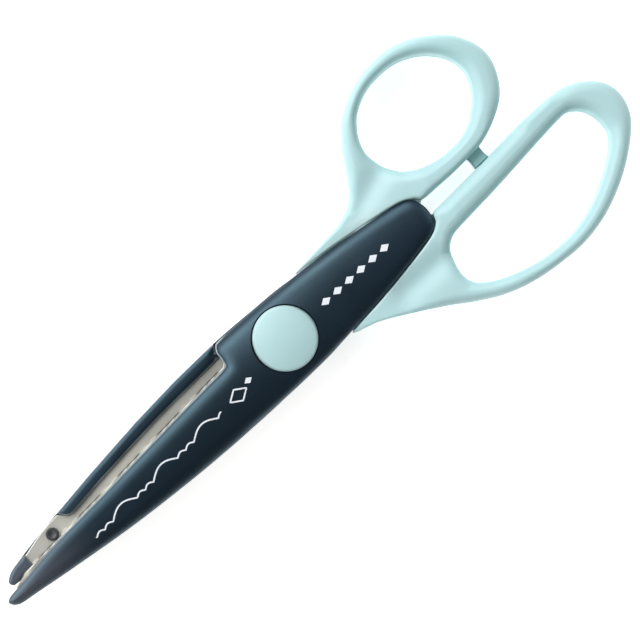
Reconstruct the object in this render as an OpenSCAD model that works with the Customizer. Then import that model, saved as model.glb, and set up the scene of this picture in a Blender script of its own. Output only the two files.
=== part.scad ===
// Decorative edge scissors: two crossing halves on one pivot, drawn closed and lying flat.
// Origin on the pivot axis at the plane the scissors rest on, handles towards +X,
// thumb loop on the +Y side, +Z up. Millimetres.

/* [Pivot] */
// Diameter of the round cap over the pivot screw
cap_d = 13.9; // [12:0.1:14.2]
// How far a cap's face falls from its flat middle to its edge
cap_fall = 0.9; // [0.6:0.1:1]
// Clear ring between a cap and its cover
cap_gap = 0.3; // [0.2:0.05:0.4]
// Diameter of the pivot sleeve that the halves turn on
sleeve_d = 5; // [4.4:0.1:5.4]
// Radial running clearance of the front blade on the sleeve
run_fit = 0.05; // [0.02:0.01:0.1]
// Diameter of the pivot screw
screw_d = 3; // [2.6:0.1:3.2]

/* [Blades] */
// Thickness of the blade steel
blade_t = 1.2; // [1.1:0.05:1.4]
// Clearance between the two blades
blade_gap = 0.06; // [0.04:0.01:0.1]
// Length of one repeat of the cutting wave along the blade
wave_period = 11.85; // [11:0.05:12.5]
// Height of the large arch of the wave
arch_h = 1.9; // [1.2:0.1:2]
// Width of the large arch of the wave
arch_w = 7.15; // [6.8:0.05:7.4]
// Height of the two small humps of the wave
hump_h = 0.75; // [0.5:0.05:0.9]
// How far the cutting edge stands out of its cover
edge_show = 0.3; // [0.2:0.05:0.4]

/* [Covers] */
// Thickness of the whole object
total_h = 11; // [11:0.1:12]
// Height of a cover above the blade plane at the pivot
cover_h = 5.2; // [5:0.05:5.3]
// Height of the rail that hides the back of the other blade
rail_h = 1.1; // [1:0.1:1.8]
// Crown radius across a cover
crown_r = 27; // [24:1:34]
// Slope of the crown line down towards the tip, in degrees
crown_fall = 1.3; // [1:0.1:1.5]
// Slope of the crown line down towards the tail, in degrees
tail_fall = 1; // [0.6:0.1:1.2]

/* [Handles] */
// Clearance between the halves where they pass each other
pass_gap = 0.3; // [0.25:0.05:0.4]
// Height of a handle above the blade plane at its waist, beside the tail of the cover
waist_h = 3.1; // [2.9:0.1:3.6]
// Radius of the hollow along the waist
waist_r = 60; // [50:5:80]
// Length of the stop bumper along the handle
bumper_l = 3.7; // [3:0.1:5]
// Height of the stop bumper
bumper_h = 5; // [3:0.5:7]

/* [Hidden] */
$fn = 48;

mid_z = total_h / 2;
half_gap = blade_gap / 2;
blade_bottom = -half_gap - blade_t;
wave_floor = blade_bottom - arch_h / 2 - 0.1;
root_floor = -2.6;
hump_w = (wave_period - arch_w) / 2;
wave_start = 16.3;
first_arch = wave_start + 2 * hump_w;
wave_end = 80;
pivot_plate_r = wave_start - 1.5;
wave_lead = 1.9;
wave_ramp = 0.9;
edge_clear = 0.25;
band_lap = 0.2;
pocket_room = 0.2;
rail_clear_r = 15.1;
rail_lap = 0.6;
below = -20;
rivet_d = 2.6;
stake_d = 2.8;
stake_shank_d = 2;
stake_h = 0.6;
stake_at = [-63.9, 2.8];
rivets_at = [[15, 0], [27, 0]];
head_r = 4.2;
head_h = 1.1;
bore_r = head_r + 0.3;
seat_z = -cover_h + 1.4;
cap_edge = 0.2;
cap_flat_r = 3;
plug_h = 0.5;
stake_foot = -2.9;
nose_x = -71.2;
nose_h = 0.7;
washer_h = 0.4;
root_start = 9;
root_lap = 0.3;
wing_start = 13;
waist_x = 27;
washer_z = -blade_bottom + 0.02;
sleeve_top = washer_z + washer_h;
head_z = washer_z + 2 * washer_h;
bumper_x = 53.4;
bumper_seat = 3.6;
screw_foot = 0.8;
sleeve_floor = 0.3;
slot_w = 0.8;
slot_deep = 0.5;

navy = [0.12, 0.19, 0.25];
steel = [0.68, 0.68, 0.64];
mint = [0.68, 0.84, 0.86];
dark = [0.2, 0.23, 0.25];
teal = [0.3, 0.45, 0.47];

// ---------- curves ----------

// One point of a Catmull-Rom span from b to c
function span(a, b, c, d, t) =
    0.5 * (2 * b + (c - a) * t + (2 * a - 5 * b + 4 * c - d) * t * t
           + (3 * b - a - 3 * c + d) * t * t * t);

// Closed smooth curve through the points p, with n steps a span
function ring(p, n = 4) =
    let (m = len(p))
    [for (i = [0 : m - 1]) for (j = [0 : n - 1])
        span(p[(i + m - 1) % m], p[i], p[(i + 1) % m], p[(i + 2) % m], j / n)];

// Open smooth curve through the points p, with n steps a span
function run(p, n = 4) =
    let (m = len(p))
    concat([for (i = [0 : m - 2]) for (j = [0 : n - 1])
        span(p[max(i - 1, 0)], p[i], p[i + 1], p[min(i + 2, m - 1)], j / n)], [p[m - 1]]);

function flip(p) = [for (q = p) [q[0], -q[1]]];
function back(p) = [for (i = [len(p) - 1 : -1 : 0]) p[i]];
function lift(p, d) = [for (q = p) [q[0], q[1] + d]];

// ---------- outlines, seen with the blade on top and its back towards +Y ----------

// Rounded tail of a cover, from its back side round the end to its step side
tail = [[10, 8.4], [20, 7.4], [30, 5.95], [36.6, 4.7], [39.2, 3.2], [40.1, 0],
        [39.2, -3.2], [36.6, -4.7], [30, -5.95], [20, -7.4], [10, -8.35], [0, -8.95], [-10.8, -9.1]];
// Step where a cover narrows beside the blade of the other half
step = [[-12, -8.6], [-12.7, -7.5], [-12.8, -6.2], [-13, -5], [-13.9, -4.1]];
// Cutting edge of a blade
cut = [[-13.8, -4.35], [-30, -3.35], [-50, -2.05], [-65, -1.15], [-72, -0.65], [-77, 0.3]];
cut_curve = run(cut);

front_back = [[-78.6, 3.5], [-70, 4.8], [-60, 6.2], [-50, 7.4], [-40, 8.3], [-25, 9.05],
              [-10, 9.25], [0, 9.1]];
front_tip = [[-74.5, 0.45], [-78.8, 0.8], [-80.1, 1.9]];
rear_back = [[-71, 3.4], [-65.5, 4.7], [-60, 5.5], [-50, 6.75], [-40, 7.9], [-25, 9.1],
             [-12, 9.45], [0, 9.1]];
rear_tip = [[-74.5, -0.1], [-77.2, 0.3], [-77.6, 1.4], [-76.3, 2.5], [-74.3, 3.15]];

// Inner side of the cutting edge, where the cover stops
cover_cut = [for (i = [1 : 3]) [cut[i][0], cut[i][1] + edge_show]];

function cover_ring(back_pts, tip_pts) = ring(concat(back_pts, tail, step, cover_cut, tip_pts), 4);

front_cover_ring = cover_ring(front_back, front_tip);
rear_cover_ring = cover_ring(rear_back, rear_tip);

// Edge of the steel under the cover, from the step round the tang to the back
blade_tang = [[-12.4, -5.5], [-10, -8], [0, -8.2], [30, -3.4], [32.5, 0], [30, 3.4], [0, 8.2], [-10, 8]];
// Back edge of the blade, along the rail, round the shoulder and out to the tip
blade_back = [[-13, 6.3], [-30, 5.7], [-40, 4.95], [-50, 4.05], [-57.3, 3.1]];
blade_shoulder = [[-58.8, 3.3], [-60.6, 5.15]];
blade_nose = [[-65.5, 4.6], [-71, 3.3], [-75.5, 2.2]];
blade_tip = [-77, 1];

// Loops and their wings, both seen from above
thumb_outer = [[8, 8], [14, 8.9], [20, 9.6], [25, 10.2], [29, 12], [32, 15.8], [35, 20.6], [40, 26.3],
               [45, 29], [50, 30.2], [55, 30.3], [60, 29.3], [65, 26.5], [69.5, 22], [71.4, 16.5],
               [69.7, 10], [65, 5.4], [60, 2.9], [55, 2], [48, 1.9], [40, 2.1], [30, 2.1], [10, 2.1]];
thumb_hole = [[38.6, 16.7], [39.7, 20.5], [44, 25.3], [50, 27.3], [55, 27.2], [60, 25.4], [64.4, 20.8],
              [65.5, 16.8], [64.7, 13.6], [60.5, 8.3], [56.5, 6.4], [51, 5.9], [45, 7.1], [41, 10]];
finger_outer = [[10, -8], [15, -10], [20, -12.2], [25, -15.1], [30, -18.1], [35, -21.5], [40, -24.3],
                [45, -26], [52, -27.2], [60, -27.4], [67, -26], [75, -22.5], [82, -17.3],
                [85.5, -13], [86.2, -9.5], [84.5, -4.5], [80, -1.2], [75, 0.05], [68, 0],
                [60, -0.5], [50, -1.1], [40, -1.4], [30, -1.5], [10, -1.5]];
finger_hole = [[40, -8], [50, -6.9], [60, -6.05], [70, -5.1], [74.8, -4.8], [78, -6.6], [79.4, -10.5],
               [78.9, -14.4], [74.6, -18.1], [66, -22.7], [58, -24.4], [50, -23.9], [42, -21.3],
               [37.3, -18.4], [36.3, -14.5], [37.3, -10]];

// ---------- the cutting wave ----------

// Height of the wave at distance r from the pivot, zero mean
function wave(r) =
    let (q = (r - first_arch + wave_period) % wave_period)
    q < arch_w
        ? arch_h * (sin(180 * q / arch_w) - 0.5)
        : hump_h * sin(180 * ((q - arch_w) % hump_w) / hump_w) - arch_h / 2;

// Distances from the pivot at which the wave is drawn: an arch in 8 steps, a hump in 3
wave_marks = concat(
    [for (i = [0 : 5]) wave_start + hump_w * i / 3],
    [for (k = [0 : 4]) for (i = [0 : 13])
        first_arch + k * wave_period + (i < 8 ? arch_w * i / 8 : arch_w + hump_w * (i - 8) / 3)]);

// Corrugated band of steel, a ring about the pivot; side is 1 for the rear, -1 for the front
module wave_band(side) {
    top = concat([[wave_start - wave_lead, 0], [wave_start - wave_ramp, 0]],
                 [for (r = wave_marks) if (r < wave_end) [r, side * wave(r)]]);
    low = lift(top, -blade_t);
    translate([0, 0, -half_gap])
        rotate_extrude(angle = 50, start = 155)
            polygon(concat(top, back(low)));
}

// ---------- one half, blade on top at z = 0 ----------

// Whole plan of a blade: back, shoulder, tip, cutting edge and tang
module plan() {
    polygon(concat(blade_tang, run(blade_back), blade_shoulder, run(blade_nose), [blade_tip],
                   back(cut_curve)));
}

// Side of the plan that the other blade passes over, with d of room beyond its edge
module passed_side(d) {
    polygon(concat([[-10, 4.6 + d]], lift(flip(cut_curve), d), [[-80, -0.5 + d], [-80, -9], [-10, -9]]));
}

module band_outline() {
    intersection() {
        plan();
        passed_side(edge_clear + band_lap);
    }
}

module flat_outline() {
    difference() {
        plan();
        difference() {
            passed_side(edge_clear);
            circle(r = pivot_plate_r);
        }
    }
}

module blade(side, hole_r) {
    difference() {
        union() {
            intersection() {
                wave_band(side);
                translate([0, 0, -5]) linear_extrude(10) band_outline();
            }
            translate([0, 0, blade_bottom]) linear_extrude(blade_t) flat_outline();
        }
        translate([0, 0, below]) cylinder(h = 40, r = hole_r);
        for (p = rivets_at) translate([p[0], p[1], below]) cylinder(h = 40, d = rivet_d);
        translate([stake_at[0], stake_at[1], below]) cylinder(h = 40, d = stake_shank_d);
    }
}

// Long cylinder along the crown line of a cover, falling by the angle given towards the tip
module crown(fall) {
    rotate([0, -90 + fall, 0])
        translate([crown_r - cover_h, 0, -60])
            cylinder(h = 160, r = crown_r, $fn = 96);
}

// Shell of one half: crowned outside, with the rail and the seats of what it carries
module cover(outline, nose) {
    difference() {
        union() {
            intersection() {
                translate([0, 0, -cover_h]) linear_extrude(cover_h + blade_bottom) polygon(outline);
                crown(crown_fall);
                crown(-tail_fall);
            }
            translate([0, 0, blade_bottom - rail_lap])
                linear_extrude(rail_h - blade_bottom + rail_lap) rail(outline);
            if (nose) nose();
        }
        // room under the corrugated band
        translate([0, 0, wave_floor]) linear_extrude(5) offset(delta = pocket_room) band_outline();
        // room for the handle root between the tang and the tail
        translate([8.5, -20, root_floor]) cube([40, 40, 10]);
        // seat of the cap, bore round the pivot heads and hole of the stake
        translate([0, 0, below]) cylinder(h = seat_z - below, d = cap_d + 2 * cap_gap);
        translate([0, 0, below]) cylinder(h = 40, r = bore_r);
        translate([stake_at[0], stake_at[1], stake_foot]) cylinder(h = 10, d = stake_shank_d);
    }
}

// Rail along the back of the blade, ended clear of the other cover's step
module rail(outline) {
    difference() {
        intersection() {
            polygon(outline);
            polygon(concat([[-13, 12], [-12, 12], [-12, 6.4]], lift(run(blade_back), 0.1),
                           [[-58.9, 3.4], [-60.3, 5.25], [-60.3, 12]]));
        }
        circle(r = rail_clear_r);
    }
}

// Nose of the rear cover, hooked over the end of its blade
module nose() {
    difference() {
        translate([0, 0, blade_bottom - rail_lap]) linear_extrude(nose_h - blade_bottom + rail_lap)
            difference() {
                polygon(rear_cover_ring);
                translate([nose_x, -20]) square([140, 40]);
                passed_side(edge_clear);
            }
        translate([0, 0, blade_bottom]) linear_extrude(blade_t) plan();
    }
}

// Plastic stake through the blade, with its flat head on the steel
module stake() {
    translate([stake_at[0], stake_at[1], 0]) {
        translate([0, 0, stake_foot]) cylinder(h = -stake_foot, d = stake_shank_d);
        translate([0, 0, -half_gap]) cylinder(h = stake_h, d = stake_d);
    }
}

// Two rivets through the tang and the handle root
module tang_rivets() {
    for (p = rivets_at)
        translate([p[0], p[1], root_floor]) cylinder(h = -root_floor - half_gap, d = rivet_d);
}

// Low round cap, flat in the middle and domed towards its edge, with a plug that presses into the cover
module cap() {
    face = -mid_z;
    dome_r = cap_d / 2 - cap_edge;
    dome = [for (t = [0 : 0.2 : 1]) [cap_flat_r + (dome_r - cap_flat_r) * t, face + cap_fall * t * t]];
    rotate_extrude($fn = 96)
        polygon(concat([[0, face]], dome, [[cap_d / 2, face + cap_fall + cap_edge], [cap_d / 2, seat_z],
                        [bore_r, seat_z], [bore_r, seat_z + plug_h], [0, seat_z + plug_h]]));
}

// ---------- handles ----------

// Half heights of the stacked layers of a handle, each with its inset
layers = [[3.2, 0], [4.4, 0.35], [5.1, 0.9], [mid_z, 1.6]];

// Loop and wing: stacked layers rounded in steps, hollowed on both faces at the waist
module soft_plate(outer, hole) {
    difference() {
        for (s = layers)
            linear_extrude(2 * s[0], center = true)
                difference() {
                    offset(r = -s[1]) polygon(outer);
                    offset(r = s[1]) polygon(hole);
                }
        for (side = [-1, 1]) {
            translate([waist_x, 0, side * (waist_h + waist_r)])
                rotate([90, 0, 0]) cylinder(h = 80, r = waist_r, center = true, $fn = 160);
            translate([waist_x - 23, 0, side * (waist_h + 5)]) cube([40, 80, 10], center = true);
        }
    }
}

// Loop and root of one half; own is 1 where its cover lies above the blade plane
module handle(outer, hole, own_ring, other_ring, own) {
    difference() {
        union() {
            difference() {
                soft_plate(outer, hole);
                translate([0, 0, own > 0 ? 0 : -10]) linear_extrude(10) polygon(own_ring);
                translate([0, 0, own > 0 ? -10 : 0]) linear_extrude(10)
                    offset(delta = pass_gap) polygon(other_ring);
            }
            translate([0, 0, own > 0 ? -blade_bottom : root_floor])
                linear_extrude(blade_bottom - root_floor) {
                    intersection() {
                        polygon(own_ring);
                        translate([root_start, -15]) square([40, 30]);
                    }
                    intersection() {
                        offset(delta = root_lap) polygon(own_ring);
                        translate([wing_start, own > 0 ? 2 : -22]) square([27, 20]);
                    }
                }
        }
        for (p = rivets_at) translate([p[0], p[1], below]) cylinder(h = 40, d = rivet_d);
    }
}

module bumper_block() {
    translate([0, 0, -bumper_h / 2]) linear_extrude(bumper_h)
        polygon([[bumper_x, -0.82], [bumper_x + bumper_l, -0.6],
                 [bumper_x + bumper_l, bumper_seat], [bumper_x, bumper_seat]]);
}

// ---------- the nodes ----------

module rear() { translate([0, 0, mid_z]) children(); }
module front() { translate([0, 0, mid_z]) rotate([180, 0, 0]) children(); }

module rear_cover() { color(navy) rear() cover(rear_cover_ring, true); }
module rear_blade() { color(steel) rear() blade(1, sleeve_d / 2); }
module rear_blade_stake() { color(dark) rear() stake(); }
module rear_tang_rivets() { color(steel) rear() tang_rivets(); }
module rear_pivot_cap() { color(mint) rear() cap(); }

module finger_handle() {
    color(mint) rear()
        handle(ring(finger_outer), ring(finger_hole), rear_cover_ring, flip(front_cover_ring), -1);
}

module pivot_sleeve() {
    color(steel) rear()
        difference() {
            union() {
                translate([0, 0, blade_bottom - head_h]) cylinder(h = head_h, r = head_r);
                translate([0, 0, blade_bottom]) cylinder(h = sleeve_top - blade_bottom, d = sleeve_d);
            }
            translate([0, 0, blade_bottom - head_h + sleeve_floor]) cylinder(h = 20, d = screw_d);
        }
}

module pivot_screw() {
    color(steel) rear() {
        translate([0, 0, blade_bottom - head_h + screw_foot])
            cylinder(h = head_z - blade_bottom + head_h - screw_foot, d = screw_d);
        difference() {
            translate([0, 0, head_z]) cylinder(h = head_h, r = head_r);
            translate([-5, -slot_w / 2, head_z + head_h - slot_deep]) cube([10, slot_w, 2]);
        }
    }
}

module spring_washer() {
    color(steel) rear() translate([0, 0, washer_z]) difference() {
        cylinder(h = washer_h, r = head_r);
        translate([0, 0, -1]) cylinder(h = 4, d = sleeve_d + 0.2);
    }
}

module screw_washer() {
    color(steel) rear() translate([0, 0, washer_z + washer_h]) difference() {
        cylinder(h = washer_h, r = head_r);
        translate([0, 0, -1]) cylinder(h = 4, d = screw_d + 0.1);
    }
}

module front_cover() { color(navy) front() cover(front_cover_ring, false); }
module front_blade() { color(steel) front() blade(-1, sleeve_d / 2 + run_fit); }
module front_blade_stake() { color(dark) front() stake(); }
module front_tang_rivets() { color(steel) front() tang_rivets(); }
module front_pivot_cap() { color(mint) front() cap(); }

module thumb_handle() {
    color(mint) rear() difference() {
        handle(ring(thumb_outer), ring(thumb_hole), flip(front_cover_ring), rear_cover_ring, 1);
        bumper_block();
    }
}

module stop_bumper() { color(teal) rear() bumper_block(); }

rear_cover();
rear_blade();
finger_handle();
rear_blade_stake();
rear_tang_rivets();
rear_pivot_cap();
pivot_sleeve();
pivot_screw();
screw_washer();
spring_washer();
front_cover();
front_blade();
thumb_handle();
front_blade_stake();
front_tang_rivets();
front_pivot_cap();
stop_bumper();
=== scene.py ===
import math

import bmesh
import bpy
import numpy as np
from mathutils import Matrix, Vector


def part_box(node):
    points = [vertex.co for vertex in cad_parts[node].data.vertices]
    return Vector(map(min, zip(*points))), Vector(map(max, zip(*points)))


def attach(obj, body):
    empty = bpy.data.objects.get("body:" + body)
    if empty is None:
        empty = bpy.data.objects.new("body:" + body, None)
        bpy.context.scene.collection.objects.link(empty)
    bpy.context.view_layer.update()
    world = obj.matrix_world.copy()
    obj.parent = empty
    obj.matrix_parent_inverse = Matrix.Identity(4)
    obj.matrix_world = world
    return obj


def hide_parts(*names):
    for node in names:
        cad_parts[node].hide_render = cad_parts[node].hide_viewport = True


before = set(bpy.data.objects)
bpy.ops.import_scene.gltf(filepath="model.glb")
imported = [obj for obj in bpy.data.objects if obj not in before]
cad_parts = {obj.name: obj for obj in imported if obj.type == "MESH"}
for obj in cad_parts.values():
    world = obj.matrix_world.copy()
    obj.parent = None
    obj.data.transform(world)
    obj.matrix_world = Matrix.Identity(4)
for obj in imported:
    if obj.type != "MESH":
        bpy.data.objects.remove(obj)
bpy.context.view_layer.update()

# Shapes are worked out in millimetres about the pivot axis and the blade plane.
MM = 0.001
BLADE_PLANE = (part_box("rear_pivot_cap")[0].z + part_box("front_pivot_cap")[1].z) / 2 / MM
HALF_HEIGHT = BLADE_PLANE
REAR, FRONT = 1, -1


def place(side, points):
    """Points of one half, drawn with its blade on top and its back at +Y, to metres in the frame."""
    p = np.asarray(points, float)
    return np.column_stack([p[:, 0], side * p[:, 1], BLADE_PLANE + side * p[:, 2]]) * MM


# ---------------------------------------------------------------- node trees

class Sock:
    """A node's output that takes part in Python maths."""

    def __init__(self, net, socket):
        self.net, self.socket = net, socket

    def maths(self, operation, *others):
        return self.net.maths(operation, self, *others)

    def __add__(self, other):
        return self.maths("ADD", other)

    def __sub__(self, other):
        return self.maths("SUBTRACT", other)

    def __mul__(self, other):
        return self.maths("MULTIPLY", other)

    def __truediv__(self, other):
        return self.maths("DIVIDE", other)

    def __radd__(self, other):
        return self.net.maths("ADD", other, self)

    def __rsub__(self, other):
        return self.net.maths("SUBTRACT", other, self)

    def __rmul__(self, other):
        return self.net.maths("MULTIPLY", other, self)


class Net:
    """A node tree that is written as expressions."""

    def __init__(self, tree):
        self.tree = tree

    def add(self, kind, inputs=None, out=0, **settings):
        """One node: its settings first, then the values or links of its inputs."""
        node = self.tree.nodes.new(kind)
        for name, value in settings.items():
            setattr(node, name, value)
        for key, value in (inputs or {}).items():
            if isinstance(value, Sock):
                self.tree.links.new(value.socket, node.inputs[key])
            else:
                node.inputs[key].default_value = value
        return Sock(self, node.outputs[out]) if node.outputs else node

    def maths(self, operation, *values):
        return self.add("ShaderNodeMath", dict(enumerate(values)), operation=operation)

    def blend(self, factor, a, b):
        return self.add("ShaderNodeMix", {0: factor, 6: a, 7: b}, out=2, data_type="RGBA")

    def ramp(self, value, low, high):
        """0 below low, 1 above high, smooth between."""
        return self.add("ShaderNodeMapRange", {0: value, 1: low, 2: high}, interpolation_type="SMOOTHSTEP")

    def bump(self, height, strength, distance):
        return self.add("ShaderNodeBump", {"Height": height, "Strength": strength, "Distance": distance})


# ---------------------------------------------------------------- curves and solids

def curved(a, b, c, d, steps):
    """Smooth curve from each b to its c, with a before it and d after it, in steps points each."""
    t = (np.arange(steps) / steps)[None, :, None]
    a, b, c, d = (p[:, None, :] for p in (a, b, c, d))
    curve = 2 * b + (c - a) * t + (2 * a - 5 * b + 4 * c - d) * t**2 + (3 * b - a - 3 * c + d) * t**3
    return curve.reshape(-1, curve.shape[2]) / 2


def spline(points, steps=8):
    """Smooth closed curve through points, with steps to a span."""
    p = np.array(points, float)
    return curved(*(np.roll(p, -k, axis=0) for k in (-1, 0, 1, 2)), steps)


def leaf(one, other, steps=8):
    """Ribs across a leaf-shaped plan: two sides that share their first and last points."""
    ring = spline(one + other[-2:0:-1], steps)
    n = (len(one) - 1) * steps
    return ring[: n + 1], np.vstack([ring[:1], ring[: n - 1 : -1]])


def ramp(x, low, high):
    """0 below low, 1 above high, smooth between."""
    t = np.clip((x - low) / (high - low), 0, 1)
    return t * t * (3 - 2 * t)


# Rim value, in millimetres, of a piece that gets no edge colour: no edge wear, painted highlight or painted
# shade
NO_EDGE_COLOUR = 9.0
# How far in from its ends a rib is sampled closely, for the rounded edges
CLOSE = np.array([0, 0.03, 0.1, 0.22, 0.4, 0.65, 1.0, 1.5, 2.1])
# How far down a wall its first row lies, clear of the rubbed edge
IN_WALL = 0.4


def along_ribs(a, b, middle=16):
    """Points along each rib from a to b, close together near both ends: ribs x samples x 2."""
    length = np.linalg.norm(b - a, axis=1)[:, None]
    close = CLOSE[None, :] * np.minimum(1, 0.42 * length / CLOSE[-1])
    first, last = close[:, -1:], length - close[:, -1:]
    between = first + (last - first) * (np.arange(1, middle) / middle)[None, :]
    s = np.hstack([close, between, length - close[:, ::-1]]) / np.maximum(length, 1e-9)
    return a[:, None, :] + (b - a)[:, None, :] * s[:, :, None]


def to_outline(points, outline, *amounts):
    """Distance of points from a closed outline, and each amount given along it at the nearest place."""
    start, end = outline, np.roll(outline, -1, axis=0)
    step = end - start
    size = np.maximum((step**2).sum(1), 1e-12)
    distance, found = [], []
    for row in points:
        rel = row[:, None, :] - start[None]
        t = np.clip((rel * step).sum(2) / size, 0, 1)
        d2 = ((rel - t[:, :, None] * step) ** 2).sum(2)
        k = d2.argmin(1)
        here = t[np.arange(len(k)), k]
        distance.append(np.sqrt(d2.min(1)))
        found.append([v[k] * (1 - here) + np.roll(v, -1)[k] * here for v in amounts])
    return np.array(distance), np.moveaxis(np.array(found), 1, 0)


def mesh_object(name, vertices, faces, values=None):
    """Mesh in metres as an object at the origin: doubles merged, faces outwards; values go on its points."""
    mesh = bpy.data.meshes.new(name)
    mesh.from_pydata([tuple(v) for v in vertices], [], [tuple(int(i) for i in f) for f in faces])
    for key, per_point in (values or {}).items():
        layer = mesh.attributes.new(key, "FLOAT", "POINT")
        layer.data.foreach_set("value", np.asarray(per_point, np.float32))
    work = bmesh.new()
    work.from_mesh(mesh)
    bmesh.ops.remove_doubles(work, verts=work.verts, dist=2e-7)
    bmesh.ops.dissolve_degenerate(work, edges=work.edges, dist=1e-7)
    bmesh.ops.recalc_face_normals(work, faces=work.faces)
    work.to_mesh(mesh)
    work.free()
    return linked(name, mesh)


def linked(name, data):
    """New object in the scene that holds the data."""
    made = bpy.data.objects.new(name, data)
    bpy.context.scene.collection.objects.link(made)
    return made


def smooth(piece, angle=38):
    """Smooth shading, with edges sharper than the angle kept crisp."""
    for face in piece.data.polygons:
        face.use_smooth = True
    piece.data.set_sharp_from_angle(angle=math.radians(angle))
    return piece


def finished(piece, look, angle=50):
    """Smooth shading and the piece's one material."""
    smooth(piece, angle)
    piece.data.materials.clear()
    piece.data.materials.append(look)
    return piece


def stitched(size, loop):
    """Faces between successive closed sections, size = sections x points; a loop joins last to first."""
    n, m = size
    around = n if loop else n - 1
    i, j = np.meshgrid(np.arange(around), np.arange(m), indexing="ij")
    i2, j2 = (i + 1) % n, (j + 1) % m
    return np.stack([i * m + j, i * m + j2, i2 * m + j2, i2 * m + j], axis=-1).reshape(-1, 4)


def outward(wall, across, loop):
    """Unit normals of a wall in plan, on the side that across points to."""
    run = np.roll(wall, -1, axis=0) - np.roll(wall, 1, axis=0) if loop else np.gradient(wall, axis=0)
    normal = np.column_stack([run[:, 1], -run[:, 0]])
    normal *= np.where((normal * across).sum(1) < 0, -1, 1)[:, None]
    return normal / np.maximum(np.linalg.norm(normal, axis=1), 1e-9)[:, None]


def flat(height):
    """Level face of a slab."""
    return lambda x, y: x * 0 + height


def slab(name, side, a, b, top, bottom, rounding, rounded=(True, True), loop=False, parting=()):
    """Closed solid over the plan swept by the ribs a-b, between the heights top(x, y) and bottom(x, y).

    rounding holds the width and depth of the rounded edge along a, then along b, and rounded says whether
    it is made on the top and on the bottom.
    """
    plan = along_ribs(a, b)
    if loop:
        walls = [to_outline(plan, wall, *amounts) for wall, amounts in zip((a, b), rounding)]
    else:
        amounts = [np.r_[u, v[::-1]] for u, v in zip(*rounding)]
        walls = [to_outline(plan, np.vstack([a, b[::-1]]), *amounts)]
    x, y = plan[:, :, 0], plan[:, :, 1]
    high, low = top(x, y), bottom(x, y)
    most = (0.48 if all(rounded) else 0.85) * (high - low)
    drop, d = 0, 1e9
    for distance, (wide, deep) in walls:
        inside = 1 - np.clip(distance / np.maximum(wide, 1e-6), 0, 1)
        drop = drop + np.minimum(deep, most) * (1 - np.sqrt(1 - inside**2))
        d = np.minimum(d, distance)
    high, low = high - drop * rounded[0], low + drop * rounded[1]
    return closed(name, side, plan, high, low, {"rim": d}, loop, parting)


def closed(name, side, plan, high, low, values, loop=False, parting=()):
    """Solid between two heights over the same plan, with walls round it; values go on its points.

    A parting is rows round the walls: (height, how far it stands out).
    """
    rows, layers = [], {key: [] for key in values}

    def add(at, height, column=None):
        rows.append(np.dstack([at, height]))
        for key, value in values.items():
            edge = value if column is None else value[:, [column]] + IN_WALL * (key == "rim")
            layers[key].append(edge[:, ::-1] if column is None and height is low_back else edge)

    low_back = low[:, ::-1]
    add(plan, high)
    for column, other in ((-1, 0), (0, -1)):
        at, up, down = plan[:, column], high[:, column], low[:, column]
        normal = outward(at, at - plan[:, other], loop)
        inset = np.minimum(IN_WALL, 0.3 * (up - down))
        levels = [(up - inset, 0.0)] + list(parting) + [(down + inset, 0.0)]
        for height, proud in levels if column == -1 else levels[::-1]:
            edge = (at + normal * proud)[:, None, :]
            add(edge, np.broadcast_to(height, len(at))[:, None], column)
        if column == -1:
            add(plan[:, ::-1], low_back)
    sections = np.concatenate(rows, axis=1)
    n, m = sections.shape[:2]
    faces = [list(f) for f in stitched((n, m), loop)]
    if not loop:
        faces += [list(range(m)), list(range((n - 1) * m, n * m))]
    values = {key: np.concatenate(parts, axis=1).reshape(-1) for key, parts in layers.items()}
    return mesh_object(name, place(side, sections.reshape(-1, 3)), faces, values)


def lathe(name, side, centre, profile, sides=96):
    """Solid turned about a vertical axis, from (radius, height) pairs that start and end on the axis."""
    angle = np.arange(sides) * 2 * math.pi / sides
    p = np.array(profile, float)
    ring = np.stack([np.cos(angle), np.sin(angle)], axis=1)
    sections = np.stack([np.column_stack([centre + ring * r, np.full(sides, z)]) for r, z in p])
    faces = stitched(sections.shape[:2], False)
    no_edge_colour = {"rim": np.full(len(p) * sides, NO_EDGE_COLOUR)}
    return mesh_object(name, place(side, sections.reshape(-1, 3)), faces, no_edge_colour)


def arc(centre_r, centre_z, radius, start, end, steps=6):
    """(radius, height) pairs along an arc of a turned profile, angles in degrees."""
    turn = np.radians(np.linspace(start, end, steps + 1))
    return [(centre_r + radius * math.cos(t), centre_z + radius * math.sin(t)) for t in turn]


def applied(piece):
    """Keeps what the piece's modifiers make as its mesh, and removes them."""
    result = bpy.data.meshes.new_from_object(piece.evaluated_get(bpy.context.evaluated_depsgraph_get()))
    piece.modifiers.clear()
    piece.data = result
    return piece


def carve(piece, cutter):
    """Takes the cutter out of the piece, and removes the cutter."""
    modifier = piece.modifiers.new("Cut", "BOOLEAN")
    modifier.operation, modifier.solver, modifier.object = "DIFFERENCE", "EXACT", cutter
    applied(piece)
    bpy.data.objects.remove(cutter)
    return piece


def joined(name, pieces):
    """Several meshes as one."""
    work = bmesh.new()
    for piece in pieces:
        work.from_mesh(piece.data)
        bpy.data.objects.remove(piece)
    mesh = bpy.data.meshes.new(name)
    work.to_mesh(mesh)
    work.free()
    return linked(name, mesh)


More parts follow.
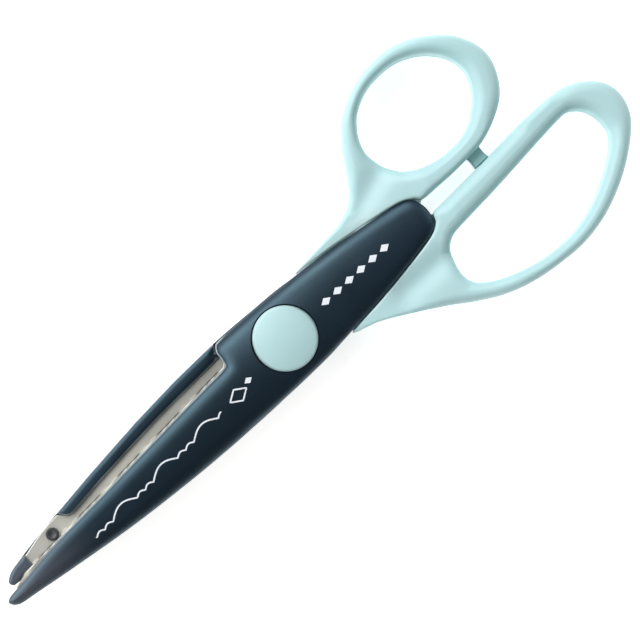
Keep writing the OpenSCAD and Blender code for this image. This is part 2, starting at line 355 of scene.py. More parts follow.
def grown(piece, build, material, **settings):
    """Runs a geometry node tree on the piece and keeps what it makes as the piece's mesh.

    settings are the tree's named inputs: name=(socket type, value).
    """
    tree = bpy.data.node_groups.new(piece.name, "GeometryNodeTree")
    net = Net(tree)
    tree.interface.new_socket("Geometry", in_out="INPUT", socket_type="NodeSocketGeometry")
    tree.interface.new_socket("Geometry", in_out="OUTPUT", socket_type="NodeSocketGeometry")
    settings["Material"] = ("NodeSocketMaterial", material)
    keys = {}
    for key, (kind, _) in settings.items():
        keys[key] = tree.interface.new_socket(key, in_out="INPUT", socket_type=kind).identifier
    start = tree.nodes.new("NodeGroupInput")
    given = {key: Sock(net, start.outputs[key]) for key in settings}
    shape = build(net, Sock(net, start.outputs["Geometry"]), given)
    shape = net.add("GeometryNodeRealizeInstances", {0: shape})
    shape = net.add("GeometryNodeSetMaterial", {"Geometry": shape, "Material": given["Material"]})
    net.add("NodeGroupOutput", {0: shape})
    modifier = piece.modifiers.new("Growth", "NODES")
    modifier.node_group = tree
    for key, (_, value) in settings.items():
        modifier[keys[key]] = value
    return applied(piece)


# ---------------------------------------------------------------- materials

def colour(red, green, blue):
    """Linear colour from display values of 0 to 255."""
    def linear(v):
        v /= 255
        return v / 12.92 if v <= 0.04045 else ((v + 0.055) / 1.055) ** 2.4
    return (linear(red), linear(green), linear(blue), 1.0)


def material(name, paint):
    """Material whose surface is a Principled shader with the inputs that paint(net) gives."""
    made = bpy.data.materials.new(name)
    made.use_nodes = True
    made.node_tree.nodes.clear()
    net = Net(made.node_tree)
    shader = net.add("ShaderNodeBsdfPrincipled", paint(net))
    net.add("ShaderNodeOutputMaterial", {"Surface": shader})
    return made


def noise(net, scale, detail=3.0, rough=0.5, stretch=(1, 1, 1)):
    """Noise of 0 to 1 over the object; scale is features per metre."""
    p = net.add("ShaderNodeTexCoord", out="Object")
    if stretch != (1, 1, 1):
        p = net.add("ShaderNodeMapping", {"Vector": p, "Scale": stretch})
    return net.add("ShaderNodeTexNoise", {"Vector": p, "Scale": scale, "Detail": detail, "Roughness": rough})


def rim(net, width):
    """1 at a piece's edge, falling to 0 at width in millimetres inside it."""
    depth = net.add("ShaderNodeAttribute", attribute_name="rim", out="Fac")
    return 1 - net.ramp(depth, 0.0, width)


def place_along(net):
    """How far along the object, in metres from the pivot."""
    at = net.add("ShaderNodeTexCoord", out="Object")
    return net.add("ShaderNodeSeparateXYZ", {0: at}, out="X")


def moulded(name, light, dark, gloss, grain, edge=None, tip_tone=None, glow=0.0, shine=0.5, sheen=(1, 1, 1, 1)):
    """Moulded plastic: cloudy colour, fine mould grain, an edge colour and faint handling marks.

    The edge colour is wear on the mint handles, a painted highlight on the navy covers' lit edges and painted
    shade round the bumper. The tip colour makes the plastic paler towards the tips, and glow lets light into
    it.
    """
    def paint(net):
        cloud = net.ramp(noise(net, 38.0, 4.0), 0.35, 0.65)
        speck = net.ramp(noise(net, 2600.0, 2.0), 0.45, 0.75)
        base = net.blend(cloud * 0.8 + speck * 0.2, dark, light)
        # Edge colour: wear on the mint handles, painted highlight on the navy covers, painted shade round the
        # bumper.
        edge_wear_and_light = rim(net, 0.38) * (0.75 + net.ramp(noise(net, 420.0, 5.0, 0.65), 0.35, 0.6) * 0.25)
        if edge:
            base = net.blend(edge_wear_and_light * 0.9, base, edge)
        if tip_tone:
            toward_tips = net.ramp(place_along(net) * -1.0, 0.052, 0.08) * (0.75 + cloud * 0.25)
            base = net.blend(toward_tips, base, tip_tone)
        scuff = net.ramp(noise(net, 240.0, 6.0, 0.7, (1, 6, 1)), 0.55, 0.72)
        height = noise(net, 5200.0, 2.0) + noise(net, 900.0, 2.0) * 0.35
        normal = net.bump(height, grain, 0.00006)
        return {"Base Color": base, "Roughness": gloss + cloud * 0.06 + scuff * 0.08 - edge_wear_and_light * 0.06,
                "IOR": 1.5, "Normal": normal, "Subsurface Weight": glow,
                "Specular IOR Level": shine, "Specular Tint": sheen,
                "Subsurface Radius": (0.6, 1.0, 1.0), "Subsurface Scale": 0.0025}
    return material(name, paint)


def steel(name, light, dark, gloss, rimmed):
    """Stamped stainless steel: fine rolling lines, cloudy polish and, on a blade, painted shade towards the
    pivot and painted highlights along its edges.
    """
    def paint(net):
        lines = noise(net, 900.0, 3.0, 0.6, (0.06, 1, 1))
        cloud = net.ramp(noise(net, 90.0, 4.0), 0.3, 0.7)
        base = net.blend(cloud * 0.6 + lines * 0.4, dark, light)
        rough = gloss + cloud * 0.08 + lines * 0.06
        if rimmed:
            # Painted shade: the blade steel darkens towards the pivot, where the rail and the covers shade
            # it.
            base = net.blend(net.ramp(place_along(net), -0.048, -0.02) * 0.5, base, colour(134, 134, 128))
            # Painted highlight: a bright band along every edge of the blade.
            bright = rim(net, 0.3)
            base = net.blend(bright * 0.85, base, colour(232, 234, 228))
            rough = rough - bright * 0.16
        normal = net.bump(lines, 0.12, 0.00004)
        return {"Base Color": base, "Metallic": 0.35 if rimmed else 1.0, "Roughness": rough, "Normal": normal}
    return material(name, paint)


def print_ink(net):
    """White ink that wears thin in specks."""
    thin = net.ramp(noise(net, 1800.0, 4.0, 0.6), 0.2, 0.45)
    return {"Base Color": net.blend(thin, colour(176, 186, 198), colour(232, 238, 246)),
            "Roughness": 0.5 + noise(net, 900.0) * 0.1,
            "Normal": net.bump(noise(net, 2600.0), 0.1, 0.00004)}


mint = moulded("mint plastic", colour(181, 216, 220), colour(177, 212, 215), 0.42, 0.14,
               edge=colour(190, 222, 222), glow=0.3)
# The navy's edge colour is a painted highlight along the covers' lit edges.
navy = moulded("navy plastic", colour(8, 20, 37), colour(6, 15, 28), 0.4, 0.16,
               edge=colour(166, 174, 180), tip_tone=colour(74, 74, 82), shine=0.95, sheen=(0.5, 0.82, 1.0, 1.0))
blade_steel = steel("blade steel", colour(192, 191, 183), colour(176, 175, 167), 0.42, True)
plain_steel = steel("screw steel", colour(200, 200, 196), colour(178, 178, 176), 0.3, False)
stake_grey = moulded("stake plastic", colour(58, 64, 68), colour(44, 50, 54), 0.34, 0.2)
# The bumper's darker edge colour is painted shade round its outline, where it meets the handles.
bumper_teal = moulded("bumper plastic", colour(146, 190, 192), colour(134, 178, 182), 0.45, 0.25,
                      edge=colour(80, 122, 126))
ink = material("print ink", print_ink)


# ---------------------------------------------------------------- covers

# Outer face: radius across, height over the pivot, and degrees of fall towards the tip and the tail
CROWN_R, COVER_H, TIP_FALL, TAIL_FALL = 27, 5.2, 1.3, 1.0
# Inner face: against the blade, round the handle's root, and under the other blade's wave
INNER, ROOT_ROOM, WAVE_ROOM = -1.25, -2.6, -2.28
RAIL_TOP, NOSE_TOP = 1.1, 0.7
# Seat of the pivot cap and the bore under it
SEAT_R, SEAT_Z, BORE_R, BORE_SIDES = 7.25, -3.8, 4.5, 94
# Edge colour of a cover, a painted highlight: the band where it is widened, by how much, and how far further
# in the spine counts
EDGE_BAND, BAND_SCALE, SPARED = 0.3, 0.55, 0.4

# Cutting edge of a blade from the pivot out to the tip, and the back edge beside its rail
CUT = np.array([(-13.8, -4.35), (-30, -3.35), (-50, -2.05), (-65, -1.15), (-72, -0.65), (-77, 0.3)])
BACK = [(-13, 6.3), (-30, 5.7), (-40, 4.95), (-50, 4.05), (-57.3, 3.1)]


def crown(x, y):
    """Outer face of a cover, highest over the pivot and along the middle."""
    slope = np.where(x < 0, math.tan(math.radians(TIP_FALL)), math.tan(math.radians(TAIL_FALL)))
    return -(COVER_H - slope * np.abs(x) - (CROWN_R - np.sqrt(CROWN_R**2 - y**2)))


def passing(x):
    """How far up the plan the other blade's edge reaches when the scissors are closed."""
    return -np.interp(-x, -CUT[:, 0], CUT[:, 1])


def inner_face(x, y):
    """Inner face of a cover: against the blade, deeper under its wave and round the handle's root."""
    under_wave = ramp(passing(x) + 0.65 - y, -0.2, 0.2) * ramp(-x, 12.5, 13.5)
    return INNER + (WAVE_ROOM - INNER) * under_wave + (ROOT_ROOM - INNER) * ramp(x, 8.5, 8.9)


# Sides of a cover in plan, from its tip to the end of its tail
tail_side = [(5, 8.9), (10, 8.4), (20, 7.4), (30, 5.95), (36.6, 4.7), (39.2, 3.2), (40.1, 0)]
spine_front = [(-80.1, 1.9), (-79.5, 2.9), (-78, 3.65), (-74, 4.2), (-65, 5.5), (-50, 7.4), (-35, 8.6),
               (-24, 9.1), (-18, 9.2), (-15, 9.25), (-13, 9.25), (-11, 9.25), (-8, 9.2), (-5, 9.2),
               (0, 9.1)] + tail_side
spine_rear = [(-77.6, 1.4), (-77.1, 1.95), (-76.3, 2.5), (-74.3, 3.15), (-65.5, 4.7), (-50, 6.75),
              (-35, 8.35), (-24, 9.15), (-18, 9.35), (-15, 9.42), (-13, 9.44), (-11, 9.44), (-8, 9.4),
              (-5, 9.3), (0, 9.1)] + tail_side
edge_side = [(-65, -0.85), (-50, -1.75), (-32, -2.95), (-20, -3.7), (-13.9, -4.1), (-13, -5),
             (-12.8, -6.2), (-12.7, -7.5), (-12, -8.6), (-10.8, -9.1), (-5, -9.1), (3, -8.85),
             (10, -8.35)] + [(x, -y) for x, y in tail_side[2:]]
edge_front = [(-80.1, 1.9), (-79.6, 1.2), (-78.2, 0.8), (-74.5, 0.45)] + edge_side
edge_rear = [(-77.6, 1.4), (-77.55, 0.8), (-77.2, 0.3), (-74.5, -0.1)] + edge_side


def rail(side, spine):
    """Rail along the back of a cover that stands up beside the blades, ended by the blade's shoulder."""
    first, last = np.interp([-60.3, -11], *zip(*spine))
    outer = [(-60.3, first)] + [p for p in spine if -60 < p[0] < -12] + [(-11.9, last)]
    inner = [(-59.3, 4.0), (-58.8, 3.45), (-58.2, 3.22)]
    inner += [(x, y + 0.1) for x, y in BACK[::-1]] + [(-13.8, 6.4)]
    t = np.unique(np.r_[0, 0.002, 0.005, 0.01, 0.016, np.linspace(0, 1, 60), 0.985, 0.991, 0.996, 0.998, 1])
    a, b = resampled(outer, t), resampled(inner, t)
    one = np.ones(len(t))
    slope = np.interp(b[:, 0], [-60, -50, -30, -13], [0.5, 0.6, 1.0, 1.2])
    rounding = ((1.2 * one, 0.7 * one), (slope, 0.8 * slope))
    return slab("rail", side, a, b, flat(RAIL_TOP), flat(INNER), rounding, (True, False))


def share(points):
    """Share of a line's length passed at each of its points."""
    length = np.r_[0, np.cumsum(np.linalg.norm(np.diff(points, axis=0), axis=1))]
    return length / length[-1]


def resampled(points, t):
    """Points of a line at the shares t of its length."""
    p = np.array(points, float)
    return np.column_stack([np.interp(t, share(p), p[:, k]) for k in (0, 1)])


def nose():
    """Hook at the tip of the rear cover, over the end of its blade."""
    one = [(-71.2, 3.42), (-72.5, 3.36), (-74.3, 3.15), (-76.3, 2.5), (-77.25, 1.8), (-77.6, 1.4)]
    other = [(-71.2, 0.95), (-72.5, 0.9), (-74.3, 0.6), (-76, 0.1), (-77.1, 0.2), (-77.5, 0.8)]
    t = np.unique(np.r_[np.linspace(0, 1, 26), 0.01, 0.025, 0.985])
    a, b = resampled(one, t), resampled(other, t)
    wide = np.ones(len(t))
    rounding = ((0.8 * wide, 0.6 * wide), (0.5 * wide, 0.4 * wide))
    return slab("nose", REAR, a, b, flat(NOSE_TOP), flat(INNER), rounding, (True, False))


def spare_spine(piece, side):
    """Keeps the edge colour, a painted highlight, for the cutting side: the spine and tail count as further
    in.
    """
    points = np.empty(3 * len(piece.data.vertices))
    piece.data.vertices.foreach_get("co", points)
    x, y = points[0::3] / MM, points[1::3] * side / MM
    depth = np.empty(len(y))
    layer = piece.data.attributes["rim"].data
    layer.foreach_get("value", depth)
    depth = np.where(depth < EDGE_BAND, BAND_SCALE * depth, depth)
    layer.foreach_set("value", depth + SPARED * np.maximum(ramp(y, 1.5, 3.0), ramp(x, -10.5, -7.5)))


def cover(name, side, spine, edge):
    """Shell with the cap's seat carved in it, its rail and, on the rear one, its nose."""
    a, b = leaf(spine, edge)

    def roundness(p, wide, deep):
        """Rounding along a side: wide and deep out on the blade, then at the pivot and at the tail."""
        at = [-80, -20, -8, 10, 36, 40]
        return np.interp(p[:, 0], at, wide), np.interp(p[:, 0], at, deep)

    rounding = (roundness(a, [2.2, 3.2, 2.2, 2.2, 2.6, 3.0], [1.3, 2.0, 1.3, 1.2, 1.0, 1.0]),
                roundness(b, [2.0, 3.4, 2.6, 2.4, 2.6, 3.0], [0.9, 1.0, 1.2, 1.2, 1.0, 1.0]))
    shell = slab("shell", side, a, b, inner_face, crown, rounding, (False, True))
    steps = [(0, -9), (SEAT_R, -9), (SEAT_R, SEAT_Z), (BORE_R, SEAT_Z), (BORE_R, 3), (0, 3)]
    carve(shell, lathe("bore", side, (0, 0), steps, BORE_SIDES))
    spare_spine(shell, side)
    parts = [shell, rail(side, spine)] + ([nose()] if side == REAR else [])
    return finished(joined(name, parts), navy, 38)


rear_cover = cover("rear_cover_shell", REAR, spine_rear, edge_rear)
front_cover = cover("front_cover_shell", FRONT, spine_front, edge_front)


# ---------------------------------------------------------------- handles

def along(points, x, y):
    """Distance of (x, y) from an open line."""
    best = np.full(x.shape, 1e9)
    for (x0, y0), (x1, y1) in zip(points, points[1:]):
        length = (x1 - x0) ** 2 + (y1 - y0) ** 2
        t = np.clip(((x - x0) * (x1 - x0) + (y - y0) * (y1 - y0)) / length, 0, 1)
        best = np.minimum(best, np.hypot(x - x0 - t * (x1 - x0), y - y0 - t * (y1 - y0)))
    return best


# Half height of a handle at its wing, and the half width of the hollow in it
WAIST, DISH_W = 3.1, 2.8


def handle(name, ribs, dish, plate, body):
    """Loop, wing and root: ribs run from the hole out, and dish is the line of a hollow on both faces."""
    hole, outer = (spline([r[k] for r in ribs], 10) for k in (0, 1))

    def half_height(x, y):
        waist = WAIST + np.clip(x - 27, 0, 17) ** 2 / 120 - 0.5 * ramp(20 - x, 0, 10)
        return np.minimum(waist, HALF_HEIGHT) - 1.0 * np.exp(-((along(dish, x, y) / DISH_W) ** 2))

    width = np.linalg.norm(outer - hole, axis=1)
    soft, hole_soft = np.minimum(2.6, 0.46 * width), np.minimum(2.7, 0.46 * width)
    beside_tail = ramp(44 - outer[:, 0], 0, 6)
    wing = np.abs(outer[:, 1]) > 8.8
    square = np.where(wing, 1 - ramp(outer[:, 0], 17, 36), beside_tail)
    by_gap = ramp(5 - outer[:, 1], 0, 2) * (outer[:, 1] > 0)
    outer_soft = soft * (1 - 0.45 * by_gap) * (1 - square) + 0.5 * square
    outer_deep = 2.3 * (1 - square) + 0.45 * square
    rounding = ((hole_soft, np.full(len(soft), 2.5)), (outer_soft, outer_deep))
    parting = [(0.3, 0.0), (0.12, 0.0), (0.0, 0.04), (-0.12, 0.0), (-0.3, 0.0)]
    loop = slab("loop", REAR, hole, outer, half_height, lambda x, y: -half_height(x, y), rounding,
                loop=True, parting=parting)
    piece = finished(joined(name, [loop, tail_plate(plate)]), mint)
    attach(piece, body)
    return piece


def tail_plate(side):
    """Root of a handle inside the tail of its own cover, out to the loop's wing."""
    tail = [(11.6, 8.72), (14, 8.75), (20, 8.5), (30, 7.4), (36.4, 6.3), (39.4, 5.0)]
    tail += [(41.0, 2.35)] if side > 0 else [(41.2, 3.6), (41.0, 1.75)]
    b = resampled(tail, np.linspace(0, 1, 40))
    a = np.column_stack([np.minimum(b[:, 0], 38), 0.3 * np.minimum(b[:, 1], 3)])
    small = np.full(len(b), 0.15)
    low, high = (1.25, 2.55) if side > 0 else (-2.55, -1.25)
    b[:, 1] *= side
    a[:, 1] *= side
    return slab("root", REAR, a, b, flat(high), flat(low), ((small, small), (small, small)))


# Ribs of the loops: (place on the hole, place on the outside)
thumb_ribs = [
    ((51, 5.9), (51, 1.95)), ((47, 6.55), (45, 1.95)), ((44.5, 7.4), (41, 2.15)),
    ((43.4, 8), (39.5, 3.45)), ((42.7, 8.45), (36.75, 4.9)), ((42.1, 8.9), (30, 6.15)),
    ((41.6, 9.38), (20, 7.6)), ((41.2, 9.83), (10.5, 8.6)), ((40.8, 10.35), (20, 9.6)),
    ((40.4, 10.95), (24, 10.05)), ((40, 11.6), (27, 11)), ((39.55, 12.5), (29.3, 12.5)),
    ((39, 14.2), (31, 14.4)), ((38.6, 16.6), (33, 17.4)), ((39, 19), (34.9, 20.5)),
    ((40.3, 21.6), (37, 23.2)), ((43, 24.6), (39.5, 25.9)), ((47.5, 26.8), (45.5, 29.2)),
    ((52, 27.4), (51.5, 30.4)), ((56.5, 26.9), (57.5, 30.1)), ((61, 24.7), (63.5, 27.5)),
    ((64.3, 21), (68.7, 23)), ((65.5, 17), (71.3, 17)), ((64.6, 13.3), (70.3, 11.4)),
    ((61.8, 9.7), (66.5, 6.4)), ((57, 6.6), (59, 2.75))]
finger_ribs = [
    ((60, -6.05), (60, -0.5)), ((52, -6.8), (51, -1.0)), ((44.5, -7.3), (44, -1.3)),
    ((41, -7.7), (40.7, -1.6)), ((39.3, -8.5), (39.5, -3.45)), ((38.2, -9.5), (36.75, -4.95)),
    ((37.6, -10.6), (30, -6.2)), ((37.1, -11.9), (20, -7.65)), ((36.7, -13.2), (11.3, -8.6)),
    ((36.45, -14.5), (17, -10.7)), ((36.45, -15.8), (24, -14.5)), ((36.8, -17.2), (30, -18.1)),
    ((38, -18.9), (35.3, -21.6)), ((41.5, -21.2), (40.5, -24.4)), ((47, -23.2), (46.5, -26.3)),
    ((53, -24.35), (53.5, -27.3)), ((59.5, -24.35), (60.5, -27.4)), ((66, -22.8), (67.5, -25.9)),
    ((72.5, -19.6), (74.5, -22.8)), ((77, -16.5), (80.5, -18.7)), ((79.1, -13.8), (84.7, -14.4)),
    ((79.4, -10.5), (86.2, -9.7)), ((78.6, -7.6), (85.2, -5.4)), ((76.9, -5.7), (81.5, -1.9)),
    ((74.5, -4.8), (76.5, -0.1)), ((68, -5.25), (68.5, 0.1))]
thumb_loop = handle("thumb_loop", thumb_ribs, [(28, 9.5), (38, 12.5)], 1, "front_half")
finger_loop = handle("finger_loop", finger_ribs, [(25, -10), (36, -10)], -1, "rear_half")


# ---------------------------------------------------------------- blades

HALF_GAP, STEEL = 0.03, 1.2
RIVETS, RIVET_HOLE_R, HOLE_SIDES = ((15, 0), (27, 0)), 1.32, 62
# The wave: one large arch, then two humps, from WAVE_START out
ARCH_H, ARCH_W, HUMP_H, PERIOD, WAVE_START = 1.9, 7.15, 0.75, 11.85, 16.3


def edge_line(points, x):
    """Height of a blade's side at x, from points that run out from the pivot."""
    p = np.array(points, float)
    q = np.vstack([p[:1], p, p[-1:]])
    fine = curved(*(q[k : len(q) - 3 + k] for k in range(4)), 16)
    line = np.vstack([fine, p[-1:]])
    return np.interp(-x, -line[:, 0], line[:, 1])


def blade(name, side, body, hole_r):
    """Stamped blade, flat at the pivot and along its back, with rings of waves towards its edge."""
    corners = [-77, -75.5, -60.6, -58.8, -57.3, -13.8, -13, -12.4, -10, 0, 30, 32.5]
    close_up = [-76.95, -76.85, 32.3]
    x = np.unique(np.r_[np.linspace(-77, -13, 300), np.linspace(-13, 32.5, 60), corners, close_up])
    x = x[np.r_[True, np.diff(x) > 0.02]]
    tang = [(-13, 6.3), (-10, 8), (0, 8.2), (30, 3.4), (32.5, 0.05)]
    low_tang = [(-13.8, -4.35), (-12.4, -5.5), (-10, -8), (0, -8.2), (30, -3.4), (32.5, -0.05)]
    nose_line = [(-60.6, 5.15), (-65.5, 4.6), (-71, 3.3), (-75.5, 2.2), (-77, 1)]
    shoulder = [(-60.6, 5.15), (-58.8, 3.3), (-57.3, 3.1)]
    back = np.where(x < -13, edge_line(BACK, x), np.interp(x, *zip(*tang)))
    back = np.where(x < -57.3, np.interp(x, *zip(*shoulder)), back)
    back = np.where(x < -60.6, edge_line(nose_line, x), back)
    cut = np.where(x < -13.8, edge_line(CUT, x), np.interp(x, *zip(*low_tang)))
    split = np.clip(passing(x), cut + 0.35 * (back - cut), back - 0.02)
    lap = np.minimum(split + 0.26, split + 0.6 * (back - split))
    close = np.array([0, 0.05, 0.12, 0.25])
    spans = [cut[:, None] + close[None] * np.minimum(1, (split - cut) / 1.2)[:, None]]
    spans.append(spans[0][:, -1:] + (split[:, None] - spans[0][:, -1:]) * (np.arange(1, 13) / 12)[None])
    spans.append(split[:, None] + (lap - split)[:, None] * (np.arange(1, 6) / 5)[None])
    inner = back[:, None] - close[::-1][None] * np.minimum(1, (back - lap) / 0.6)[:, None]
    spans.append(lap[:, None] + (inner[:, :1] - lap[:, None]) * (np.arange(1, 6) / 6)[None])
    spans.append(inner)
    y = np.hstack(spans)
    plan = np.dstack([np.repeat(x[:, None], y.shape[1], 1), y])
    outline = np.vstack([plan[:, 0], plan[::-1, -1]])
    d, _ = to_outline(plan, outline, outline[:, 0])
    drop = 0.07 * (1 - np.clip(d / 0.12, 0, 1)) ** 2
    passed = (1 - ramp(y, split[:, None] + 0.02, split[:, None] + 0.24)) * ramp(-plan[:, :, 0], 10, 12)
    piece = closed(name, side, plan, -HALF_GAP - drop, -HALF_GAP - STEEL + drop, {"rim": d, "passed": passed})
    for centre, r in [((0, 0), hole_r)] + [(at, RIVET_HOLE_R) for at in RIVETS]:
        carve(piece, lathe("hole", side, centre, [(0, -6), (r, -6), (r, 6), (0, 6)], HOLE_SIDES))
    length = "NodeSocketFloat"
    grown(piece, corrugate, blade_steel, Period=(length, PERIOD * MM), ArchWidth=(length, ARCH_W * MM),
          ArchHeight=(length, ARCH_H * MM), HumpHeight=(length, HUMP_H * MM), Start=(length, WAVE_START * MM))
    smooth(piece, 42)
    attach(piece, body)
    return piece


def corrugate(net, shape, given):
    """Raises and lowers the steel in rings about the pivot: one large arch, then two small humps."""
    position = net.add("GeometryNodeInputPosition")
    level = net.add("ShaderNodeVectorMath", {0: position, 1: (1, 1, 0)}, operation="MULTIPLY")
    r = net.add("ShaderNodeVectorMath", {0: level}, out="Value", operation="LENGTH")
    hump = (given["Period"] - given["ArchWidth"]) / 2
    q = (r - given["Start"] - hump * 2 + given["Period"]).maths("MODULO", given["Period"])
    arch = given["ArchHeight"] * ((q * math.pi / given["ArchWidth"]).maths("SINE") - 0.5)
    beyond = (q - given["ArchWidth"]).maths("MODULO", hump)
    small = given["HumpHeight"] * (beyond * math.pi / hump).maths("SINE") - given["ArchHeight"] / 2
    on_arch = q.maths("LESS_THAN", given["ArchWidth"])
    wave = arch * on_arch + small * (1 - on_arch)
    begun = net.ramp(r, 15.4 * MM, WAVE_START * MM)
    passed = net.add("GeometryNodeInputNamedAttribute", {"Name": "passed"}, data_type="FLOAT")
    rise = wave * begun * passed
    lift = net.add("ShaderNodeCombineXYZ", {"Z": rise})
    return net.add("GeometryNodeSetPosition", {"Geometry": shape, "Offset": lift})


rear_blade = blade("rear_wave_blade", REAR, "rear_half", 2.5)
front_blade = blade("front_wave_blade", FRONT, "front_half", 2.55)


# ---------------------------------------------------------------- small pieces

STAKE_AT = (-63.9, 2.8)
BUMPER_X, BUMPER_Y, BUMPER_TOP, BUMPER_EDGE = (53.4, 57.1), (-0.75, 3.6), 2.4, 0.45


def cap(name, side, body):
    """Domed disc in the seat over the pivot."""
    face = -HALF_HEIGHT + 0.02
    dome = 24.0
    profile = [(0, face)] + arc(0, face + dome, dome, -89.9, -74.5, 14)[1:]
    rim_z = profile[-1][1]
    profile += [(6.62, rim_z + 0.09), (6.82, rim_z + 0.2), (6.93, rim_z + 0.36), (6.95, rim_z + 0.5)]
    profile += [(6.95, SEAT_Z), (0, SEAT_Z)]
    piece = finished(lathe(name, side, (0, 0), profile, 128), mint)
    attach(piece, body)
    return piece


def stake(name, side, body):
    """Head of the plastic stake, set down in the middle where it was pressed home."""
    foot = -0.03
    profile = [(0, -2.9), (1.0, -2.9), (1.0, foot), (1.4, foot)] + arc(1.15, 0.3, 0.25, 0, 80, 5)
    profile += [(0.75, 0.52), (0.55, 0.38), (0, 0.32)]
    piece = finished(lathe(name, side, STAKE_AT, profile, 48), stake_grey)
    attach(piece, body)
    return piece


def bumper():
    """Soft stop between the handles, with sides drawn in a little."""
    t = np.linspace(0, 1, 24)
    y = BUMPER_Y[0] + (BUMPER_Y[1] - BUMPER_Y[0]) * t
    draw = 0.16 * np.sin(math.pi * np.clip(t * 1.3, 0, 1))
    a, b = np.column_stack([BUMPER_X[0] + draw, y]), np.column_stack([BUMPER_X[1] - draw, y])
    soft = np.full(len(t), BUMPER_EDGE)
    rounding = ((soft, soft), (soft, soft))
    piece = slab("handle_bumper", REAR, a, b, flat(BUMPER_TOP), flat(-BUMPER_TOP), rounding)
    finished(piece, bumper_teal)
    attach(piece, "front_half")
    return piece


rear_cap = cap("rear_cap", REAR, "rear_half")
front_cap = cap("front_cap", FRONT, "front_half")
rear_stake = stake("rear_stake", REAR, "rear_half")
front_stake = stake("front_stake", FRONT, "front_half")
stop = bumper()
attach(rear_cover, "rear_half")
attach(front_cover, "front_half")


# ---------------------------------------------------------------- printed marks

INK_W, INK_T, INK_LIFT = 0.34, 0.03, 0.02
# Printed wave: where its line starts and ends, and the heights of its arch and humps
PRINT_X, PRINT_Y, PRINT_ARCH, PRINT_HUMP = (-57.3, -20.1), (-4.1, -2.75), 1.55, 0.55


def ribbon(points, closed=False):
    """Flat stroke of ink along a line in plan, as sections; an open one narrows at its ends."""
    p = np.array(points, float)
    run = np.roll(p, -1, axis=0) - np.roll(p, 1, axis=0) if closed else np.gradient(p, axis=0)
    normal = np.column_stack([-run[:, 1], run[:, 0]]) / np.linalg.norm(run, axis=1)[:, None]
    n = len(p)
    wide = INK_W / 2
    if not closed:
        from_end = np.minimum(np.arange(n), n - 1 - np.arange(n))
        wide = wide * np.sqrt(np.clip(from_end / 2.0, 0.05, 1))[:, None]
    left, right = p + normal * wide, p - normal * wide
    up, down = np.full((n, 1), INK_T), np.zeros((n, 1))
    corners = ((left, up), (right, up), (right, down), (left, down))
    return np.stack([np.hstack(corner) for corner in corners], axis=1)


def stroke(name, points, closed=False):
    """One ribbon as a closed solid."""
    sections = ribbon(points, closed)
    n = len(sections)
    faces = [list(f) for f in stitched((n, 4), closed)]
    if not closed:
        faces += [[0, 1, 2, 3], list(range(4 * n - 4, 4 * n))]
    return mesh_object(name, sections.reshape(-1, 3) * MM, faces)


def lozenge(name, x, y, long, short, hollow):
    """Generic diamond mark, drawn round its outline or filled in."""
    corners = np.array([(long, 0), (0, short), (-long, 0), (0, -short)])
    t = np.linspace(0, 1, 9)[:-1]
    edge = np.vstack([corners[k] * (1 - t)[:, None] + corners[(k + 1) % 4] * t[:, None] for k in range(4)])
    if hollow:
        return stroke(name, edge + (x, y), True)
    rings = [np.column_stack([edge * s + (x, y), np.full(len(edge), z)]) for s, z in
             ((1e-6, INK_T), (0.5, INK_T), (1, INK_T), (1, 0), (0.5, 0), (1e-6, 0))]
    return mesh_object(name, np.vstack(rings) * MM, stitched((len(rings), len(edge)), False))


def drape(net, shape, given):
    """Lays the strokes on the cover: each point drops straight down onto it and stands off by Lift."""
    under = net.add("GeometryNodeObjectInfo", {"Object": given["Cover"]}, out="Geometry",
                    transform_space="RELATIVE")
    position = net.add("GeometryNodeInputPosition")
    height = net.add("ShaderNodeSeparateXYZ", {0: position}, out="Z")
    above = net.add("ShaderNodeCombineXYZ", {"Z": given["Above"]})
    start = net.add("ShaderNodeVectorMath", {0: position, 1: above}, operation="ADD")
    hit = net.add("GeometryNodeRaycast", {"Target Geometry": under, "Source Position": start,
                                          "Ray Direction": (0, 0, -1), "Ray Length": 1.0}, out="Hit Position")
    lift = net.add("ShaderNodeCombineXYZ", {"Z": height + given["Lift"]})
    place_at = net.add("ShaderNodeVectorMath", {0: hit, 1: lift}, operation="ADD")
    return net.add("GeometryNodeSetPosition", {"Geometry": shape, "Position": place_at})


def wave_line():
    """The pattern that the scissors cut, printed beside the edge: an arch, then two humps, repeated."""
    x = np.linspace(*PRINT_X, 240)
    q = np.mod(PRINT_X[1] - x - 1.4, PERIOD)
    small = (PERIOD - ARCH_W) / 2
    arch = PRINT_ARCH * np.sin(math.pi * q / ARCH_W)
    hump = PRINT_HUMP * np.sin(math.pi * np.mod(q - ARCH_W, small) / small)
    base = np.interp(x, PRINT_X, PRINT_Y)
    return np.column_stack([x, base + np.where(q < ARCH_W, arch, hump)])


marks = [stroke("wave", wave_line()), lozenge("outlined", -15.2, -2.1, 2.3, 1.5, True),
         lozenge("dot", -11.6, -1.2, 1.0, 0.7, False)]
marks += [lozenge("row", 11.5 + 3.3 * k, 0, 1.25, 0.85, False) for k in range(6)]
marks = joined("printed_marks", marks)
grown(marks, drape, ink, Cover=("NodeSocketObject", front_cover), Lift=("NodeSocketFloat", INK_LIFT * MM),
      Above=("NodeSocketFloat", 0.02))
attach(marks, "front_half")


# ---------------------------------------------------------------- frame

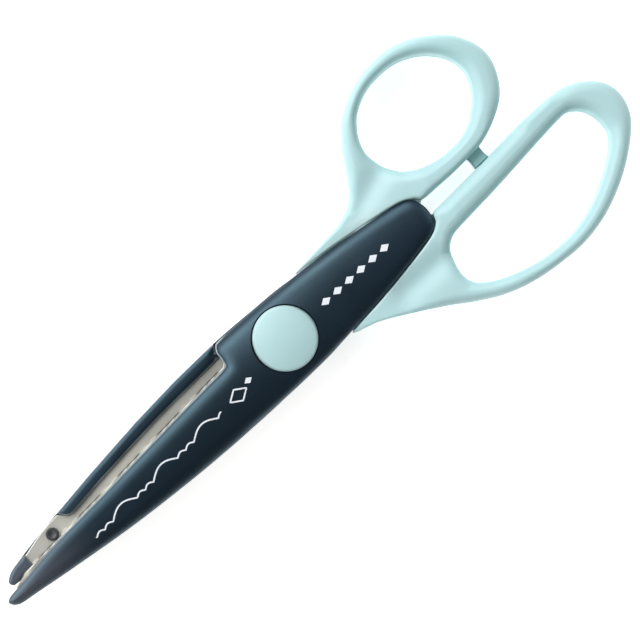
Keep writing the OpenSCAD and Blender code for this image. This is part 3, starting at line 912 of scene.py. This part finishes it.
STANDS_FOR = {
    "rear_cover": (rear_cover, "cover_plastic"), "front_cover": (front_cover, "cover_plastic"),
    "thumb_handle": (thumb_loop, "handle_plastic"), "finger_handle": (finger_loop, "handle_plastic"),
    "rear_pivot_cap": (rear_cap, "handle_plastic"), "front_pivot_cap": (front_cap, "handle_plastic"),
    "rear_blade": (rear_blade, "blade_steel"), "front_blade": (front_blade, "blade_steel"),
    "rear_blade_stake": (rear_stake, "stake_plastic"), "front_blade_stake": (front_stake, "stake_plastic"),
    "stop_bumper": (stop, "bumper_plastic")}
for node, (piece, finish) in STANDS_FOR.items():
    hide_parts(node)
for node in ("pivot_sleeve", "pivot_screw", "screw_washer", "spring_washer",
             "rear_tang_rivets", "front_tang_rivets"):
    for material_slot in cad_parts[node].material_slots:
        material_slot.material = plain_steel


# ---------------------------------------------------------------- studio

def floor_paint(net):
    """White paper, bright enough to lose its shadows."""
    return {"Base Color": colour(245, 245, 245), "Roughness": 0.9 + noise(net, 40.0) * 0.08,
            "Emission Color": colour(255, 255, 255), "Emission Strength": 0.7}


floor_mesh = bpy.data.meshes.new("floor")
reach, level = 1.5, -0.05 * MM
corners = [(-reach, -reach, level), (reach, -reach, level), (reach, reach, level), (-reach, reach, level)]
floor_mesh.from_pydata(corners, [], [(0, 1, 2, 3)])
floor = linked("floor", floor_mesh)
floor.data.materials.append(material("floor paper", floor_paint))


def area_light(name, at, size, power, tint=(1, 1, 1)):
    """Soft box that faces the middle of the object; size is along X, then up the box."""
    lamp = bpy.data.lights.new(name, "AREA")
    lamp.shape = "RECTANGLE"
    lamp.size, lamp.size_y, lamp.energy, lamp.color = *size, power, tint
    rig = linked(name, lamp)
    rig.location = at
    rig.rotation_euler = (-Vector(at)).to_track_quat("-Z", "Y").to_euler()


area_light("key", (-0.12, 0.5, 0.52), (1.1, 0.42), 7.8)
for name, across in (("left fill", -0.62), ("right fill", 0.62)):
    area_light(name, (across, -0.08, 0.36), (0.5, 0.4), 1.35, (1, 0.99, 0.95))
world = bpy.data.worlds.new("sky")
world.use_nodes = True
world.node_tree.nodes["Background"].inputs["Color"].default_value = (1, 0.99, 0.94, 1)
world.node_tree.nodes["Background"].inputs["Strength"].default_value = 0.09
bpy.context.scene.world = world

# The camera looks straight down. VIEW_W is what it takes in at the height of the covers' faces, FACE_Z
EYE, FACE_Z, VIEW_W, SENSOR = 0.65, 0.0085, 133.84, 36
MIDDLE, TURN = (7.95, -2.04), -42.5
lens = bpy.data.cameras.new("camera")
lens.sensor_width = SENSOR
lens.lens = SENSOR * (EYE - FACE_Z) / (VIEW_W * MM)
lens.clip_start, lens.clip_end = 0.01, 20
camera = linked("camera", lens)
camera.location = (MIDDLE[0] * MM, MIDDLE[1] * MM, EYE)
camera.rotation_euler = (0, 0, math.radians(TURN))
bpy.context.scene.camera = camera
bpy.context.scene.view_settings.view_transform = "Standard"
